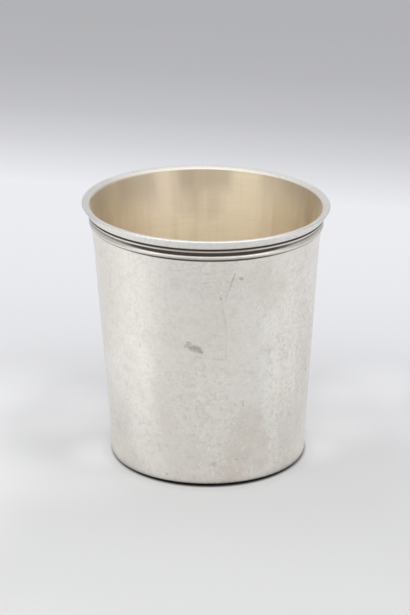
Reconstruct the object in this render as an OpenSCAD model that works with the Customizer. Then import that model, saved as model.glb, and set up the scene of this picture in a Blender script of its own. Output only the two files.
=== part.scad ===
// Tapered silver drinking cup, gilded inside, with a soldered lip wire and two half-round threads below it.
// Millimetres, +Z up. The origin is the middle of the foot, at the level of the table.

/* [Wall] */
// Height from the table to the top of the lip
cup_h = 80; // [60:0.5:110]
// Outside diameter of the taper at the level of the table
foot_d = 59.5; // [48:0.5:72]
// Outside diameter of the taper, carried up to the lower edge of the threads
neck_d = 68.5; // [54:0.1:84]
// Thickness of the rolled sheet
wall_t = 0.6; // [0.4:0.05:1]
// Radius that eases the outer corner of the lower edge
foot_ease = 0.3; // [0.1:0.05:0.35]
// Width of the soldered seam down the back
seam_w = 0.4; // [0.2:0.05:0.8]

/* [Mouth] */
// Height over which the wall flares, up to its top edge
flare_h = 15.3; // [8:0.1:20]
// Radius of the flare on the outside of the sheet
flare_r = 130; // [80:5:200]

/* [Base] */
// Thickness of the base disc
base_t = 0.6; // [0.4:0.05:1.2]
// How far the middle of the disc stands below the edge of the wall
base_drop = 0.6; // [0.4:0.1:1.5]
// Diameter of the flat middle that the cup stands on
stand_d = 46; // [36:1:50]
// Clearance round the disc, which the solder fills
disc_fit = 0.1; // [0.05:0.05:0.2]
// Height of the solder fillet under the edge of the disc
solder_h = 0.4; // [0.2:0.05:0.7]

/* [Gilding] */
// Thickness of the gilded layer
gilt_t = 0.1; // [0.05:0.01:0.2]
// Radius of the corner between the floor and the wall inside
floor_fillet = 1; // [0.5:0.1:3]

/* [Lip] */
// Height of the lip wire
lip_h = 2.85; // [2.2:0.05:5]
// Reach of the lip beyond the top edge of the wall
lip_reach = 1.55; // [1:0.05:2.5]
// Rise of the lip above the top edge of the wall
lip_rise = 0.85; // [0.4:0.05:1.2]
// Radius of the outer edge of the lip
lip_edge_r = 0.45; // [0.2:0.05:0.6]
// Step from the wall out to the lower edge of the lip
lip_step = 0.4; // [0.1:0.05:0.8]

/* [Threads] */
// Gap between the lip and the upper thread
lip_gap = 0.3; // [0.1:0.05:1]
// Width of the upper thread
upper_w = 0.95; // [0.8:0.05:2]
// Height of the upper thread above the wall
upper_proud = 0.3; // [0.15:0.05:0.45]
// Gap between the two threads
thread_gap = 1; // [0.2:0.05:1.5]
// Width of the lower thread
lower_w = 1.45; // [0.8:0.05:2]
// Height of the lower thread above the wall
lower_proud = 0.4; // [0.15:0.05:0.6]

/* [Hidden] */

$fn = 128;
arc_steps = 16;

SILVER = [0.80, 0.79, 0.77];
SOLDER = [0.73, 0.72, 0.69];
GILT = [0.82, 0.72, 0.54];

// Levels, from the lip down to the neck and from the table up to the floor
rim_z = cup_h - lip_rise;
lip_z = cup_h - lip_h;
upper_z = lip_z - lip_gap - upper_w / 2;
lower_z = upper_z - upper_w / 2 - thread_gap - lower_w / 2;
neck_z = lower_z - lower_w / 2;
edge_z = base_drop + solder_h;
floor_z = base_t + gilt_t;

// The wall leans out from the foot to the neck, and its angles are taken from the vertical.
lean = atan((neck_d - foot_d) / 2 / neck_z);
seam_angle = 2 * asin(seam_w / foot_d);
flare_z = rim_z - flare_h;
flare_c = [cone_r(flare_z) + flare_r * cos(lean), flare_z - flare_r * sin(lean)];

// The disc turns up round its flat middle on one arc, which reaches the wall at edge_z.
disc_edge = wall_t + disc_fit;
disc_run = taper_point(disc_edge, edge_z).x - stand_d / 2;
disc_r = (pow(disc_run, 2) + pow(edge_z, 2)) / (2 * edge_z);
disc_c = [stand_d / 2, disc_r];

// Outside radius of the straight taper at height z
function cone_r(z) = foot_d / 2 + z * tan(lean);

// Outside radius of the wall at height z, flare included
function outer_r(z) = z < flare_z ? cone_r(z) : flare_c.x - sqrt(pow(flare_r, 2) - pow(z - flare_c.y, 2));

// Point at height z on the taper, set in from the outside by depth
function taper_point(depth, z) = [cone_r(z) - depth / cos(lean), z];

// Points along an arc
function arc(centre, radius, from, to) =
    [for (i = [0:arc_steps])
        let (a = from + (to - from) * i / arc_steps)
        centre + radius * [cos(a), sin(a)]];

// Points up the flare to the rim, on the surface that is set in from the outside by depth
function flare_points(depth) =
    let (rim_angle = asin((rim_z - flare_c.y) / (flare_r + depth)))
    arc(flare_c, flare_r + depth, 180 - lean, 180 - rim_angle);

// Point where a circle about the middle of the disc's arc meets the taper, set in by depth
function disc_meet(radius, depth) =
    let (slope = tan(lean),
         a = 1 + pow(slope, 2),
         gap = taper_point(depth, 0).x - disc_c.x,
         b = gap * slope - disc_c.y,
         c = pow(gap, 2) + pow(disc_c.y, 2) - pow(radius, 2))
    taper_point(depth, (-b - sqrt(pow(b, 2) - a * c)) / a);

// Points up the turned edge of the disc to the taper, on the surface that lies above the underside by lift
function disc_points(lift) =
    let (end = disc_meet(disc_r - lift, disc_edge) - disc_c)
    arc(disc_c, disc_r - lift, -90, atan2(end.y, end.x));

function reverse(points) = [for (i = [len(points) - 1:-1:0]) points[i]];

// Section of the rolled sheet, from the eased foot to the rim
module sheet_section() {
    ease_c = taper_point(foot_ease, base_drop + foot_ease);
    polygon(concat(
        arc(ease_c, foot_ease, -90, -lean),
        flare_points(0),
        reverse(flare_points(wall_t)),
        [taper_point(wall_t, base_drop)]));
}

// Everything within the outside of the wall, up to the rim: the seat of the lip and the threads
module core_section() {
    polygon(concat(
        [[0, 0], taper_point(0, 0)],
        flare_points(0),
        [[0, rim_z]]));
}

// Half-round wire bent round the wall, middle at height z
module thread(z, width, proud) {
    wire_r = (pow(width / 2, 2) + pow(proud, 2)) / (2 * proud);
    rotate_extrude()
        difference() {
            translate([outer_r(z) + proud - wire_r, z])
                circle(wire_r);
            core_section();
        }
}

module body_wall() {
    color(SILVER)
        rotate(90 + seam_angle / 2)
            rotate_extrude(angle = 360 - seam_angle)
                sheet_section();
}

module seam_solder() {
    color(SOLDER)
        rotate(90 - seam_angle / 2)
            rotate_extrude(angle = seam_angle)
                sheet_section();
}

module base_disc() {
    color(SILVER)
        rotate_extrude()
            polygon(concat(
                [[0, 0]],
                disc_points(0),
                reverse(disc_points(base_t)),
                [[0, base_t]]));
}

// Film of solder round the edge of the disc, ending below in a fillet against its last facet
module base_solder() {
    under = disc_points(0);
    top = disc_points(base_t)[arc_steps];
    color(SOLDER)
        rotate_extrude()
            polygon([
                taper_point(wall_t, base_drop),
                under[arc_steps - 1],
                under[arc_steps],
                top,
                taper_point(wall_t, top.y)]);
}

// Wedge of wire that caps the edge of the wall: a crown, a round outer edge and a face that slants back
module lip_wire() {
    inner = flare_points(wall_t + gilt_t)[arc_steps];
    edge_c = [outer_r(rim_z) + lip_reach - lip_edge_r, cup_h - lip_edge_r];
    crown_w = edge_c.x - inner.x;
    crown_r = (pow(crown_w, 2) + pow(lip_rise, 2)) / (2 * lip_rise);
    crown_c = [edge_c.x, cup_h - crown_r];
    foot = [outer_r(lip_z) + lip_step, lip_z];
    run = edge_c - foot;
    face_angle = atan2(-run.y, -run.x) + acos(lip_edge_r / norm(run));
    color(SILVER)
        rotate_extrude()
            difference() {
                polygon(concat(
                    arc(crown_c, crown_r, 90 + asin(crown_w / crown_r), 90),
                    arc(edge_c, lip_edge_r, 90, face_angle),
                    [foot, taper_point(wall_t, lip_z)]));
                core_section();
            }
}

module upper_thread() {
    color(SILVER)
        thread(upper_z, upper_w, upper_proud);
}

module lower_thread() {
    color(SILVER)
        thread(lower_z, lower_w, lower_proud);
}

// Gilded layer over the disc and the inside of the wall, up to the lip
module gilt_lining() {
    face = wall_t + gilt_t;
    seat = disc_points(base_t);
    corner_c = disc_meet(disc_r - floor_z - floor_fillet, face + floor_fillet);
    reach = corner_c - disc_c;
    corner_angle = atan2(reach.y, reach.x);
    color(GILT)
        rotate_extrude()
            polygon(concat(
                [[0, base_t]],
                seat,
                [taper_point(wall_t, seat[arc_steps].y)],
                flare_points(wall_t),
                reverse(flare_points(face)),
                arc(corner_c, floor_fillet, -lean, corner_angle),
                arc(disc_c, disc_r - floor_z, corner_angle, -90),
                [[0, floor_z]]));
}

body_wall();
seam_solder();
base_disc();
base_solder();
lip_wire();
upper_thread();
lower_thread();
gilt_lining();
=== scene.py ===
"""Worn silver cup, gilded inside, turned piece by piece and set in soft studio light.

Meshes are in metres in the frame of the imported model: +Z up, the middle of the foot at the origin.
Sizes of the cup are in millimetres, as on a bench drawing, and go to metres when an outline becomes a mesh.
"""

import logging
import math
from dataclasses import dataclass
from enum import Enum
from typing import Callable, Mapping, Optional, Sequence, Union

import bpy
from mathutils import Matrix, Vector


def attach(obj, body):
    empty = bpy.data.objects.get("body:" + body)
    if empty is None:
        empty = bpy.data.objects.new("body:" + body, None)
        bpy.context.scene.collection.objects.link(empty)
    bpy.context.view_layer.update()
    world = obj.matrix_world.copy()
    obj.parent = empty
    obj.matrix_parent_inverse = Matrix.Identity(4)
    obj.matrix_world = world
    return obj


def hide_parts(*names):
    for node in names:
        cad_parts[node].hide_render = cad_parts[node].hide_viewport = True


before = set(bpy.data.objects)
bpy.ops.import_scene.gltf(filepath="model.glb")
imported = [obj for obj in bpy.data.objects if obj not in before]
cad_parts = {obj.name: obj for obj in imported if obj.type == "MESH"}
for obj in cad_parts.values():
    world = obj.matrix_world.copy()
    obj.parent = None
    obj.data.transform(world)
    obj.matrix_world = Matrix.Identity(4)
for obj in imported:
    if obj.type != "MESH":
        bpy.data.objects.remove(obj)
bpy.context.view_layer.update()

MM = 0.001

Point = tuple[float, float]
Colour = tuple[float, float, float]
Number = Union[float, "Value"]
Key = Union[str, int]

log = logging.getLogger("silver_cup")


class Slot(Enum):
    """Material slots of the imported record."""

    SILVER = "silver"
    SOLDER = "solder"
    GILT = "gilt"


def arithmetic(operation: str, number_first: bool = False) -> Callable[["Value", Number], "Value"]:
    """Method of a value that adds a Math node to its tree.

    Args:
        operation: what the node does.
        number_first: whether the other operand comes first, as in a reflected operator.

    Returns:
        The method.
    """

    def method(value: "Value", other: Number) -> "Value":
        """The node's output for the value and the other operand."""
        first, second = (other, value) if number_first else (value, other)
        return value.nodes.math(operation, first, second)

    return method


class Value:
    """An output socket that can be used in Python arithmetic."""

    __add__ = arithmetic("ADD")
    __radd__ = arithmetic("ADD", number_first=True)
    __sub__ = arithmetic("SUBTRACT")
    __rsub__ = arithmetic("SUBTRACT", number_first=True)
    __mul__ = arithmetic("MULTIPLY")
    __rmul__ = arithmetic("MULTIPLY", number_first=True)
    __truediv__ = arithmetic("DIVIDE")
    __rtruediv__ = arithmetic("DIVIDE", number_first=True)
    larger = arithmetic("MAXIMUM")
    smaller = arithmetic("MINIMUM")

    def __init__(self, nodes: "Nodes", socket: bpy.types.NodeSocket) -> None:
        """Keeps the socket and the tree that it belongs to."""
        self.nodes = nodes
        self.socket = socket

    def __neg__(self) -> "Value":
        """The value with its sign turned."""
        return self * -1.0

    def __abs__(self) -> "Value":
        """The value without its sign."""
        return self.nodes.math("ABSOLUTE", self)

    def output(self, name: str) -> "Value":
        """Another output of the node that this value comes from."""
        return Value(self.nodes, self.socket.node.outputs[name])

    def rise(self, low: float, high: float) -> "Value":
        """Smooth step from 0 at low to 1 at high, falling where low is the larger of the two."""
        sockets = {"Value": self, "From Min": low, "From Max": high}
        return self.nodes.node("ShaderNodeMapRange", {"interpolation_type": "SMOOTHSTEP"}, sockets)


class Nodes:
    """A node tree, and the one way in which nodes get into it."""

    def __init__(self, tree: bpy.types.NodeTree) -> None:
        """Takes a tree that is empty."""
        self.tree = tree

    def node(
        self,
        kind: str,
        settings: Optional[Mapping[str, object]] = None,
        sockets: Optional[Mapping[Key, object]] = None,
        out: Key = 0,
    ) -> Value:
        """Adds a node, sets it and links it.

        Args:
            kind: the node's type.
            settings: the node's own properties, set before its sockets; "stops" are a ramp's.
            sockets: values or links, by the socket's name or number.
            out: the output that is given back.

        Returns:
            That output.
        """
        made = self.tree.nodes.new(kind)
        for name, setting in (settings or {}).items():
            if name == "stops":
                self._set_stops(made.color_ramp, setting)
            else:
                setattr(made, name, setting)
        for key, given in (sockets or {}).items():
            socket = self._socket(made.inputs, key)
            if isinstance(given, Value):
                self.tree.links.new(given.socket, socket)
            else:
                socket.default_value = given
        return Value(self, self._socket(made.outputs, out))

    @staticmethod
    def _socket(sockets: Sequence[bpy.types.NodeSocket], key: Key) -> bpy.types.NodeSocket:
        """The socket in use with that name or number."""
        if isinstance(key, int):
            return sockets[key]
        return next(socket for socket in sockets if socket.name == key and not socket.is_unavailable)

    @staticmethod
    def _set_stops(ramp: bpy.types.ColorRamp, stops: Sequence[tuple[float, Colour]]) -> None:
        """Gives a ramp its stops.

        Args:
            ramp: the ramp, as new.
            stops: places from 0 to 1 and their colours.
        """
        while len(ramp.elements) < len(stops):
            ramp.elements.new(1.0)
        for element, (place, colour) in zip(ramp.elements, stops):
            element.position = place
            element.color = (*colour, 1.0)

    def math(self, operation: str, first: Number, second: Number = 0.0) -> Value:
        """Adds a Math node."""
        return self.node("ShaderNodeMath", {"operation": operation}, {0: first, 1: second})

    def vector(self, operation: str, first: object, second: object = (0.0, 0.0, 0.0)) -> Value:
        """Adds a Vector Math node for two vectors."""
        return self.node("ShaderNodeVectorMath", {"operation": operation}, {0: first, 1: second})

    def scaled(self, vector: Value, factor: Number) -> Value:
        """Adds a Vector Math node that scales a vector."""
        return self.node("ShaderNodeVectorMath", {"operation": "SCALE"}, {"Vector": vector, "Scale": factor})

    def joined(self, x: Number, y: Number, z: Number) -> Value:
        """A vector from its three parts."""
        return self.node("ShaderNodeCombineXYZ", None, {"X": x, "Y": y, "Z": z})

    def parts(self, vector: Value) -> tuple[Value, Value, Value]:
        """The three parts of a vector."""
        x = self.node("ShaderNodeSeparateXYZ", None, {"Vector": vector}, "X")
        return x, x.output("Y"), x.output("Z")

    def noise(
        self, vector: Value, seed: Number, scale: Number = 1.0, detail: float = 2.0, harsh: float = 0.5
    ) -> Value:
        """Adds a Noise Texture with values about 0.5, where another seed gives another pattern."""
        sockets = {"Vector": vector, "W": seed, "Scale": scale, "Detail": detail, "Roughness": harsh}
        return self.node("ShaderNodeTexNoise", {"noise_dimensions": "4D"}, sockets)

    def mix(self, share: Number, first: object, second: object) -> Value:
        """Blends two colours or links, with a share of the second."""
        first, second = (c if isinstance(c, Value) else (*c, 1.0) for c in (first, second))
        return self.node("ShaderNodeMix", {"data_type": "RGBA"}, {0: share, 6: first, 7: second}, 2)

    def end(self, kind: str, name: str, value: Value) -> None:
        """Adds an output node and links a value to its input of that name."""
        made = self.tree.nodes.new(kind)
        self.tree.links.new(value.socket, made.inputs[name])


@dataclass(frozen=True)
class Mark:
    """A stroke on the wall, from one place to another: a trace of wear, or a band of painted light or shade.

    Angles are in degrees from the front, larger to the right, and heights and the width in millimetres.
    """

    angle: float
    z: float
    angle_end: float
    z_end: float
    width: float = 0.35
    strength: float = 0.6


class MetalSkin(Nodes):
    """Nodes of a metal's material, with the traces that polish, knocks and age leave, and strokes of painted
    light and shade.
    """

    # Radius at which the wall is unrolled, and radius and soft edge of the flat floor, in millimetres
    GIRTH_R = 33.0
    FLOOR_R = 28.5
    FLOOR_EDGE = 0.1
    # Half width of a scratch as a share of the noise's range, and where scratches are dense in their patches
    LINE_WIDTH = 0.045
    PATCHY = (0.48, 0.66)
    # Steps between the seeds of patterns that belong together
    SEED_STEP = 0.37
    PATCH_SEED = 7.3
    # Radius of a pit's flat bottom as a share of the pit's
    PIT_FLOOR = 0.3
    # Turn of a brushed gloss, as a share of a full turn
    UPRIGHT = 0.25

    def __init__(self, name: str) -> None:
        """Starts a material of that name, with the places that its patterns are laid out by."""
        self.material = bpy.data.materials.new(name)
        self.material.use_nodes = True
        super().__init__(self.material.node_tree)
        self.tree.nodes.clear()
        coordinates = self.node("ShaderNodeTexCoord", None, None, "Object")
        self.place = self.scaled(coordinates, 1.0 / MM)
        x, y, z = self.parts(self.place)
        self.across = x
        self.height = z
        self.radius = self.math("SQRT", x * x + y * y)
        self.girth = self.math("ARCTAN2", x, -y) * self.GIRTH_R
        upright = self.radius.rise(self.FLOOR_R - self.FLOOR_EDGE, self.FLOOR_R)
        flat = 1.0 - upright
        self.sheet = self.joined(self.girth * upright + x * flat, z * upright + y * flat, 0.0)
        spread = self.radius.larger(self.FLOOR_R) / self.GIRTH_R
        rise = z + self.radius.smaller(self.FLOOR_R) - self.FLOOR_R
        self.round = self.joined(x / spread, y / spread, rise)
        self.relief = self.node("ShaderNodeAttribute", {"attribute_name": "relief"}, None, "Fac")

    def cloud(self, size: float, seed: float, detail: float = 2.0, harsh: float = 0.5) -> Value:
        """Soft noise about 0.5 all over the piece, in patches of a size in millimetres."""
        return self.noise(self.place, seed, 1.0 / size, detail, harsh)

    def hairlines(self, turn: float, length: float, pitch: float, fine: float, seed: float) -> Value:
        """Thin scratches that run one way over the unrolled wall.

        Args:
            turn: their direction, in degrees from the horizontal.
            length: their rough length, in millimetres.
            pitch: their rough distance, in millimetres.
            fine: half width of a line as a share of the noise's range.
            seed: another number gives another set.

        Returns:
            1 on a line and 0 beside it.
        """
        sockets = {"Vector": self.sheet, "Rotation": (0.0, 0.0, math.radians(turn))}
        turned = self.node("ShaderNodeMapping", {"vector_type": "TEXTURE"}, sockets)
        along = self.vector("MULTIPLY", turned, (1.0 / length, 1.0 / pitch, 1.0))
        noise = self.noise(along, seed, detail=1.0, harsh=0.4)
        patchy = self.cloud(length, seed + self.PATCH_SEED, 1.0).rise(*self.PATCHY)
        return abs(noise - 0.5).rise(fine, 0.0) * patchy

    def lattice(self, sets: Sequence[tuple[float, float, float]], seed: float) -> Value:
        """Several sets of thin scratches that cross.

        Args:
            sets: direction, length and distance of each set.
            seed: another number gives another lattice.

        Returns:
            1 on a line and 0 beside it.
        """
        crossed: Number = 0.0
        for count, (turn, length, pitch) in enumerate(sets):
            lines = self.hairlines(turn, length, pitch, self.LINE_WIDTH, seed + self.SEED_STEP * count)
            crossed = lines.larger(crossed)
        return crossed

    def streaks(self, across: float, along: float, seed: float) -> Value:
        """Soft noise about 0.5 without a seam, in patches of a size round and up the cup in millimetres."""
        drawn = self.vector("MULTIPLY", self.round, (1.0 / across, 1.0 / across, 1.0 / along))
        return self.noise(drawn, seed)

    def pits(self, spacing: float, radius: float, share: float, seed: float) -> Value:
        """Small round knocks.

        Args:
            spacing: rough distance between them, in millimetres.
            radius: their largest radius, in millimetres.
            share: how many of the places have one.
            seed: another number gives another set.

        Returns:
            1 in a pit and 0 outside.
        """
        sockets = {"Vector": self.place, "W": seed, "Scale": 1.0 / spacing}
        distance = self.node("ShaderNodeTexVoronoi", {"voronoi_dimensions": "4D"}, sockets, "Distance")
        chance = self.parts(distance.output("Color"))[0]
        edge = radius / spacing
        return distance.rise(edge, self.PIT_FLOOR * edge) * chance.rise(1.0 - share, 1.02 - share)

    def stroke(self, mark: Mark) -> Value:
        """One stroke between two places on the wall.

        Args:
            mark: the stroke.

        Returns:
            The mark's strength on it and 0 away from it.
        """
        to_girth = math.radians(1.0) * self.GIRTH_R
        run = (mark.angle_end - mark.angle) * to_girth
        climb = mark.z_end - mark.z
        across = self.girth - mark.angle * to_girth
        up = self.height - mark.z
        share = (across * run + up * climb) / (run * run + climb * climb)
        share = share.larger(0.0).smaller(1.0)
        aside = across - share * run
        above = up - share * climb
        return (aside * aside + above * above).rise(mark.width ** 2, 0.0) * mark.strength

    def strokes(self, marks: Sequence[Mark]) -> Number:
        """All strokes of a list together, as one mask."""
        mask: Number = 0.0
        for mark in marks:
            mask = self.stroke(mark).larger(mask)
        return mask

    def finished(
        self, colour: Value, roughness: Value, height: Value, depth: float, brushed: float = 0.0
    ) -> bpy.types.Material:
        """Ends the material in a metal's shader.

        Args:
            colour: base colour.
            roughness: roughness.
            height: relief from 0 to 1 that bends the light.
            depth: depth of that relief, in millimetres.
            brushed: how far rubbing round the axis draws the gloss out up and down.

        Returns:
            The material.
        """
        bump = {"Strength": 1.0, "Distance": depth * MM, "Height": height}
        sockets = {
            "Base Color": colour,
            "Metallic": 1.0,
            "Roughness": roughness,
            "Normal": self.node("ShaderNodeBump", None, bump),
            "Anisotropic": brushed,
            "Anisotropic Rotation": self.UPRIGHT,
        }
        shader = self.node("ShaderNodeBsdfPrincipled", None, sockets)
        self.end("ShaderNodeOutputMaterial", "Surface", shader)
        return self.material


@dataclass(frozen=True)
class SilverFinish:
    """Old polished silver: close to satin, with hairlines, knocks, warm bloom, grooves that are tarnished and
    hold painted shade, and bands of painted reflection.
    """

    name: str
    marks: tuple[Mark, ...] = ()
    scuffs: tuple[Mark, ...] = ()
    blooms: tuple[Mark, ...] = ()
    flecked: tuple[Mark, ...] = ()
    reflection_bands: tuple[Mark, ...] = ()
    clean: Colour = (0.865, 0.836, 0.783)
    bloom: Colour = (0.84, 0.797, 0.735)
    rosy: Colour = (0.76, 0.70, 0.632)
    cream: Colour = (0.95, 0.89, 0.765)
    gilded: Colour = (0.95, 0.87, 0.76)
    bright: Colour = (0.93, 0.91, 0.85)
    dull: Colour = (0.73, 0.70, 0.655)
    tarnish_and_shade: Colour = (0.075, 0.056, 0.046)
    polish: float = 0.34
    depth: float = 0.05
    scratched: float = 1.0
    gilded_r: float = 0.0
    faded: float = 0.26
    faded_z: float = 75.4
    seed: float = 1.0

    # Direction in degrees, length and distance in millimetres of each set of scratches
    SCRATCHES = ((8.0, 15.0, 0.8), (-35.0, 9.0, 0.6), (62.0, 8.0, 0.6), (86.0, 12.0, 0.7), (-72.0, 7.0, 0.5))
    # Sizes of the patterns in millimetres, and for the pits their distance, radius and share
    BROAD, MOTTLE, GRAIN, FLECKS, CREAM, BLOTS = 22.0, 2.4, 0.85, 9.0, 2.2, 4.5
    BRUSHED = (9.0, 0.5)
    FIBRES = (1.2, 0.4)
    PITS = (5.5, 0.42, 0.3)
    # Half width of the edge of the gilding on the lip, and how much of it is left
    GILDED_EDGE, GILDED_SHARE = 0.25, 0.4

    def material(self) -> bpy.types.Material:
        """The finish as a material."""
        skin = MetalSkin(self.name)
        broad = skin.cloud(self.BROAD, self.seed, 3.0)
        mottle = skin.cloud(self.MOTTLE, self.seed + 1.0, 4.0, 0.62)
        grain = skin.cloud(self.GRAIN, self.seed + 2.0, 3.0, 0.6)
        worn = skin.strokes(self.flecked)
        flecked = (0.5 + skin.cloud(self.FLECKS, self.seed + 4.0).rise(0.45, 0.7) * 0.3 + worn).smaller(1.0)
        creamy = skin.cloud(self.CREAM, self.seed + 7.0, 3.0).rise(0.5, 0.7) * worn * 0.7
        brushed = skin.streaks(*self.BRUSHED, self.seed + 5.0)
        lines = skin.lattice(self.SCRATCHES, self.seed + 3.0) * self.scratched
        pits = skin.pits(*self.PITS, self.seed + 6.0)
        fibres = 0.5 + skin.streaks(*self.FIBRES, self.seed + 8.0).rise(0.3, 0.7) * 0.5
        broken = 0.3 + mottle.rise(0.35, 0.65) * 0.4
        marks = skin.strokes(self.marks) * broken + skin.strokes(self.scuffs) * fibres
        blots = skin.strokes(self.blooms) * skin.cloud(self.BLOTS, self.seed + 9.0, 3.0).rise(0.1, 0.65)
        groove = self._groove(skin)
        rubbed = (-skin.relief).rise(0.0, 1.0)

        colour = skin.mix(broad.rise(0.42, 0.68) * (1.0 - rubbed), self.clean, self.bloom)
        # painted reflection: lighter bands where the wall would mirror bright surroundings
        colour = skin.mix(skin.strokes(self.reflection_bands), colour, self.bright)
        colour = skin.mix(blots, colour, self.rosy)
        colour = skin.mix(creamy, colour, self.cream)
        dulled = mottle.rise(0.45, 0.75) * 0.45 + lines * 0.35 + brushed.rise(0.55, 0.75) * 0.16
        dulled = (dulled + grain.rise(0.48, 0.7) * flecked * 0.9).smaller(1.0)
        lightened = grain.rise(0.48, 0.28) * flecked * 0.9 + brushed.rise(0.45, 0.25) * 0.12
        inside = skin.radius.rise(self.gilded_r + self.GILDED_EDGE, self.gilded_r - self.GILDED_EDGE)
        colour = skin.mix(dulled, colour, self.dull)
        colour = skin.mix(lightened, colour, self.bright)
        colour = skin.mix(inside * self.GILDED_SHARE, colour, self.gilded)
        colour = skin.mix((marks + pits * 0.2).smaller(1.0) * 0.75, colour, self.tarnish_and_shade)
        # tarnish and painted shade in the grooves; the painted shade is fainter at the sides of the cup
        colour = skin.mix((groove + mottle * groove * 0.3).smaller(0.97), colour, self.tarnish_and_shade)
        roughness = self.polish + (mottle - 0.5) * 0.16 + lines * 0.1 + marks * 0.2
        roughness = roughness + groove * 0.2 - rubbed * 0.06
        height = 0.5 + (mottle - 0.5) * 0.12 + (grain - 0.5) * 0.05 - lines * 0.1 - marks * 0.3
        return skin.finished(colour, roughness, height, self.depth)

    def _groove(self, skin: MetalSkin) -> Value:
        """Tarnish and painted shade in the grooves, fainter at both sides of the cup under the line of the
        lip.

        Args:
            skin: the material's nodes.

        Returns:
            0 on the open surface and 1 deep in a groove.
        """
        true = OutOfTrue()
        level = skin.height / (1.0 + (skin.across + true.reach) * (true.skew / true.height))
        most = 1.0 + abs(level - self.faded_z).rise(1.25, 0.8)
        below = level.rise(self.faded_z + 1.2, self.faded_z + 0.7) * most
        aside = abs(skin.girth).rise(8.0, 30.0) * below * self.faded
        return (skin.relief + (skin.relief - 1.8) * aside).rise(0.05, 0.95)


@dataclass(frozen=True)
class GiltFinish:
    """Pale worn gilding: satin, mottled between pink and green gold, thin and silvery towards the lip, with
    strokes of painted highlight and painted shade.
    """

    name: str
    gold: Colour = (0.99, 0.908, 0.724)
    pink: Colour = (0.99, 0.896, 0.745)
    worn: Colour = (0.77, 0.69, 0.565)
    shaded: Colour = (0.89, 0.785, 0.61)
    bare: Colour = (0.97, 0.935, 0.87)
    dark: Colour = (0.63, 0.535, 0.395)
    darkened: Colour = (0.24, 0.18, 0.12)
    polish: float = 0.66
    depth: float = 0.06
    brushed: float = 0.75
    worn_from: float = 66.0
    worn_to: float = 79.0
    sweeps: tuple[Mark, ...] = ()
    shade_marks: tuple[Mark, ...] = ()
    edges: tuple[Mark, ...] = ()
    seed: float = 31.0

    # Sizes of the patterns, and of the drawn-out ones their size round and up the cup, in millimetres
    BROAD, MOTTLE = 17.0, 2.8
    SWEPT, BANDS = (10.0, 90.0), (4.5, 60.0)
    UPRIGHT, LEVEL = (0.7, 14.0), (9.0, 0.6)
    # How far the edge of the worn gilding wanders up and down
    WANDER = 12.0

    def material(self) -> bpy.types.Material:
        """The finish as a material."""
        skin = MetalSkin(self.name)
        broad = skin.cloud(self.BROAD, self.seed, 3.0)
        mottle = skin.cloud(self.MOTTLE, self.seed + 1.0, 4.0, 0.62)
        sweeps = skin.streaks(*self.SWEPT, self.seed + 5.0)
        bands = skin.streaks(*self.BANDS, self.seed + 2.0)
        upright = skin.streaks(*self.UPRIGHT, self.seed + 3.0)
        level = skin.streaks(*self.LEVEL, self.seed + 4.0)
        # painted highlights: within these strokes the gilding is neither worn nor shaded, so it shows lighter
        off_highlights = 1.0 - skin.strokes(self.sweeps)
        thin = (skin.height + (broad - 0.5) * self.WANDER).rise(self.worn_from, self.worn_to) * off_highlights
        groove = skin.relief.rise(0.05, 0.95)

        colour = skin.mix(broad.rise(0.4, 0.65), self.gold, self.pink)
        colour = skin.mix(thin * 0.95 + mottle.rise(0.55, 0.8) * 0.15, colour, self.worn)
        shade = bands.rise(0.42, 0.7) * off_highlights * 0.6
        shade = shade + upright.rise(0.45, 0.75) * 0.2 + level.rise(0.45, 0.7) * 0.2
        colour = skin.mix(shade.smaller(1.0), colour, self.shaded)
        # painted shade and reflection: dark strokes in the gilding
        colour = skin.mix(skin.strokes(self.shade_marks) * bands.rise(0.15, 0.6), colour, self.dark)
        colour = skin.mix(skin.strokes(self.edges), colour, self.bare)
        # painted shade at the gilding's upper edge, and darker in the corner of the floor
        colour = skin.mix(groove * 0.9, colour, self.darkened)
        roughness = self.polish + (mottle - 0.5) * 0.14 - (bands - 0.5) * 0.2
        roughness = roughness + (level - 0.5) * 0.12 + groove * 0.1
        height = 0.5 + (sweeps - 0.5) * 5.0 + (bands - 0.5) * 2.4 + (mottle - 0.5) * 0.35
        height = height + (upright - 0.5) * 0.3 + (level - 0.5) * 0.15
        return skin.finished(colour, roughness, height, self.depth, self.brushed)


@dataclass(frozen=True)
class SolderFinish:
    """Filed silver solder: greyer than the sheet, with file strokes and pinholes."""

    name: str
    filed: Colour = (0.70, 0.68, 0.64)
    dull: Colour = (0.52, 0.50, 0.46)
    pin: Colour = (0.12, 0.10, 0.085)
    polish: float = 0.38
    depth: float = 0.03
    seed: float = 61.0

    def material(self) -> bpy.types.Material:
        """The finish as a material."""
        skin = MetalSkin(self.name)
        mottle = skin.cloud(1.1, self.seed, 3.0, 0.6)
        strokes = skin.hairlines(20.0, 5.0, 0.3, 0.05, self.seed + 1.0)
        pins = skin.pits(2.6, 0.22, 0.35, self.seed + 2.0)
        colour = skin.mix(mottle.rise(0.45, 0.7), self.filed, self.dull)
        colour = skin.mix(pins * 0.8, colour, self.pin)
        roughness = self.polish + (mottle - 0.5) * 0.2 + strokes * 0.1
        height = 0.5 + (mottle - 0.5) * 0.4 - pins * 0.5 - strokes * 0.2
        return skin.finished(colour, roughness, height, self.depth)


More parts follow.
